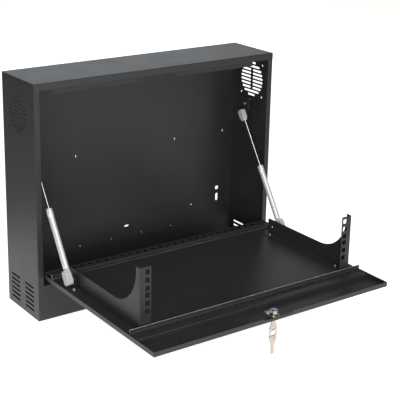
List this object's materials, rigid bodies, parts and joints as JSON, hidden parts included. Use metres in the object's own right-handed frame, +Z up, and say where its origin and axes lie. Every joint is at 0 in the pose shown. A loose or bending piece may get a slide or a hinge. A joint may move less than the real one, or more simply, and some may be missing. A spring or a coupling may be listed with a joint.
{
  "type": "wall mount network cabinet",
  "caption": "Shallow wall cabinet whose drop-down door carries rack ears on gas struts, with side fan grilles, slot vents and a cam lock with keys.",
  "frame": {"origin": "middle of the back face at its bottom edge", "axes": "+X to the right seen from the front, +Y into the wall, +Z up; the door is modelled open"},
  "size_m": [0.575, 0.5285, 0.485],
  "materials": {
    "powder_coat": "fine-textured dark grey powder coat",
    "zinc": "bright zinc plate",
    "strut_tube_paint": "silver-white paint",
    "rod_chrome": "polished rod",
    "fitting_plastic": "light grey plastic",
    "black_plastic": "black seal plastic",
    "lock_brass": "plain brass",
    "key_nickel": "nickel-plated key"
  },
  "bodies": {
    "cabinet": {"left_side_panel": "powder_coat", "right_side_panel": "powder_coat", "top_panel": "powder_coat", "base_pan": "powder_coat", "back_panel": "powder_coat", "stop_strip": "powder_coat", "frame_hinge_leaves": "powder_coat", "frame_hinge_rivets": "powder_coat", "hinge_pins": "zinc", "left_upper_strut_bracket": "powder_coat", "right_upper_strut_bracket": "powder_coat", "left_upper_stud_plate": "powder_coat", "right_upper_stud_plate": "powder_coat", "stud_plate_screws": "zinc"},
    "door": {"door_pan": "powder_coat", "tray_plate": "powder_coat", "rear_rail": "powder_coat", "front_rail": "powder_coat", "left_rack_bracket": "powder_coat", "right_rack_bracket": "powder_coat", "rack_bracket_screws": "zinc", "strut_bracket_screws": "zinc", "left_lower_strut_bracket": "powder_coat", "right_lower_strut_bracket": "powder_coat", "left_lower_ball_stud": "zinc", "right_lower_ball_stud": "zinc", "door_hinge_leaves": "powder_coat", "door_hinge_rivets": "powder_coat", "lock_housing": "lock_brass", "lock_nut": "zinc"},
    "lock_core": {"lock_plug": "lock_brass", "lock_cam": "zinc", "cam_screw": "zinc", "inserted_key": "key_nickel"},
    "ring": {"key_ring": "key_nickel"},
    "hanging_key": {"spare_key": "key_nickel"},
    "left_tube": {"left_strut_tube": "strut_tube_paint", "left_rod_guide": "black_plastic", "left_tube_end_fitting": "fitting_plastic"},
    "left_rod": {"left_strut_rod": "rod_chrome", "left_strut_piston": "black_plastic", "left_rod_end_fitting": "fitting_plastic", "left_upper_ball_stud": "zinc"},
    "right_tube": {"right_strut_tube": "strut_tube_paint", "right_rod_guide": "black_plastic", "right_tube_end_fitting": "fitting_plastic"},
    "right_rod": {"right_strut_rod": "rod_chrome", "right_strut_piston": "black_plastic", "right_rod_end_fitting": "fitting_plastic", "right_upper_ball_stud": "zinc"}
  },
  "joints": [
    {"name": "door_hinge", "type": "hinge", "parent": "cabinet", "child": "door", "pos_m": [0, -0.141, 0.082], "axis": [-1, 0, 0], "range_deg": [0, 90]},
    {"name": "left_strut_swing", "type": "hinge", "parent": "door", "child": "left_tube", "pos_m": [-0.262, -0.215, 0.114], "axis": [1, 0, 0], "range_deg": [0, 110.5]},
    {"name": "left_strut_slide", "type": "slide", "parent": "left_tube", "child": "left_rod", "axis": [0, -0.5452, -0.8383], "range_m": [0, 0.0812]},
    {"name": "right_strut_swing", "type": "hinge", "parent": "door", "child": "right_tube", "pos_m": [0.262, -0.215, 0.114], "axis": [1, 0, 0], "range_deg": [0, 110.5]},
    {"name": "right_strut_slide", "type": "slide", "parent": "right_tube", "child": "right_rod", "axis": [0, -0.5452, -0.8383], "range_m": [0, 0.0812]},
    {"name": "lock_turn", "type": "hinge", "parent": "door", "child": "lock_core", "pos_m": [-0.002, -0.515, 0.102], "axis": [0, 0, 1], "range_deg": [0, 90]},
    {"name": "key_ring_swing", "type": "hinge", "parent": "lock_core", "child": "ring", "pos_m": [-0.002, -0.515, 0.0649], "axis": [0, 1, 0], "range_deg": [-20, 20]},
    {"name": "spare_key_swing", "type": "hinge", "parent": "ring", "child": "hanging_key", "pos_m": [-0.002, -0.515, 0.0499], "axis": [0, 1, 0], "range_deg": [-20, 20]}
  ],
  "couplings": [
    {"joint": "left_strut_swing", "follows": "door_hinge", "ratio": 1.2276},
    {"joint": "left_strut_slide", "follows": "door_hinge", "m_per_rad": 0.051623},
    {"joint": "right_strut_swing", "follows": "door_hinge", "ratio": 1.2276},
    {"joint": "right_strut_slide", "follows": "door_hinge", "m_per_rad": 0.051623}
  ]
}
